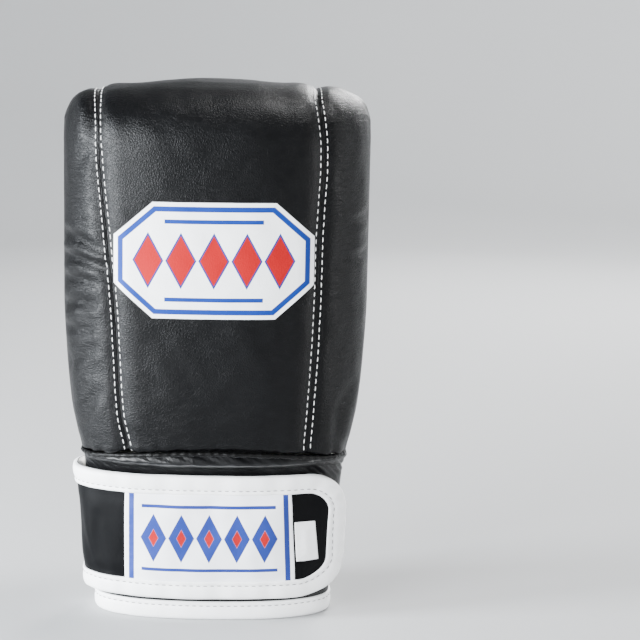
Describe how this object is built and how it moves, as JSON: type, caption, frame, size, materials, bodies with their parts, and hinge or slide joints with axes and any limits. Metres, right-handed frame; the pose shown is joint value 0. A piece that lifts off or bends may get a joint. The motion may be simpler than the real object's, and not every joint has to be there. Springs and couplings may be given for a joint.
{
  "type": "bag glove",
  "caption": "Right-hand bag glove: black padded back rolled over the finger tips, white leather palm with a slit and a thumb pocket, and a wrist strap round the cuff.",
  "frame": {"origin": "on the surface that the hem stands on, under the middle of the glove", "axes": "+X towards the little finger, +Y out of the palm, +Z from the cuff to the finger tips"},
  "size_m": [0.1548, 0.0918, 0.2716],
  "materials": {
    "black_leather": "soft grained hide with a low sheen",
    "cuff_leather": "thin gathered hide, glossier than the pad",
    "strap_leather": "smooth hide with a low sheen",
    "white_leather": "soft warm white hide with fine creases",
    "white_tape": "smooth white folded tape with a stitched row",
    "black_lining": "matt woven cloth",
    "black_fastener": "hook and loop pile",
    "label_satin": "woven white satin with blue end stripes",
    "tag_cloth": "plain white woven tag"
  },
  "bodies": {
    "root": {"centre_panel": "black_leather", "surround_panel": "black_leather", "pad_welt": "black_leather", "cuff_back": "cuff_leather", "hand_lining": "black_lining", "palm_panel": "white_leather", "palm_finger_panel": "white_leather", "edge_tape": "white_tape", "thumb_upper": "white_leather", "thumb_lower": "white_leather", "thumb_seam": "white_leather", "wrist_strap": "strap_leather", "strap_tape": "white_tape", "label_patch": "label_satin", "size_tag": "tag_cloth", "fastener_patch": "black_fastener"}
  },
  "joints": []
}
